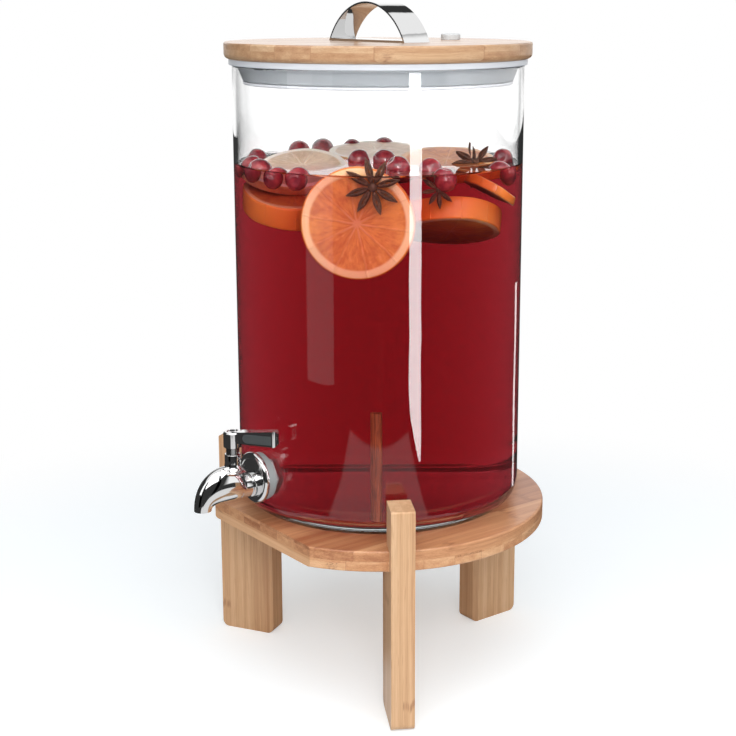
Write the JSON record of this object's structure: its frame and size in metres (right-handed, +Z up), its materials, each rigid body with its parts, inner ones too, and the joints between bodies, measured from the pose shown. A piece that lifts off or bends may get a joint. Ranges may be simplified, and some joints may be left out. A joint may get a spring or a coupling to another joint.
{
  "type": "drinks dispenser",
  "caption": "Cylindrical glass drinks dispenser with a quarter-turn tap, a wooden lid with a strap handle, and a wooden stand on three board legs.",
  "frame": {"origin": "centre of the whole object's outline, on the surface that its three legs stand on; the jar's axis stands 12.2 mm behind it", "axes": "+Z up; the tap points along -Y; +X to the right as seen from the tap's side"},
  "size_m": [0.233, 0.2754, 0.4636],
  "materials": {
    "bamboo_plate": "oiled laminated bamboo",
    "bamboo_legs": "oiled laminated bamboo",
    "bamboo_lid": "oiled laminated bamboo",
    "glass": "clear polished",
    "steel": "mirror polished stainless steel",
    "silicone": "translucent satin silicone",
    "black_rubber": "matte",
    "dark_grip": "satin",
    "white_plastic": "satin moulded"
  },
  "bodies": {
    "stand": {"stand_plate": "bamboo_plate", "leg_front_left": "bamboo_legs", "leg_front_right": "bamboo_legs", "leg_rear": "bamboo_legs"},
    "jar": {"glass_jar": "glass", "outer_washer": "silicone", "tap_body": "steel", "inner_washer": "silicone", "backing_nut": "steel", "gland_nut": "steel"},
    "valve": {"valve_stem": "steel", "stem_seals": "black_rubber", "lever": "steel", "lever_inlay": "dark_grip", "lever_screw": "steel"},
    "lid": {"lid_disc": "bamboo_lid", "lid_core": "white_plastic", "lid_seal": "silicone", "core_screws": "steel", "handle_strap": "steel", "handle_screws": "steel"},
    "vent_plug": {"vent_plug": "silicone"}
  },
  "joints": [
    {"name": "jar_lift", "type": "slide", "parent": "stand", "child": "jar", "axis": [0, 0, 1], "range_m": [0, 0.12]},
    {"name": "lid_lift", "type": "slide", "parent": "jar", "child": "lid", "axis": [0, 0, 1], "range_m": [0, 0.1]},
    {"name": "vent_plug_pull", "type": "slide", "parent": "lid", "child": "vent_plug", "axis": [0, 0, 1], "range_m": [0, 0.045]},
    {"name": "lever_turn", "type": "hinge", "parent": "jar", "child": "valve", "pos_m": [0, -0.1083, 0.18], "axis": [0, 0, -1], "range_deg": [0, 90]}
  ]
}
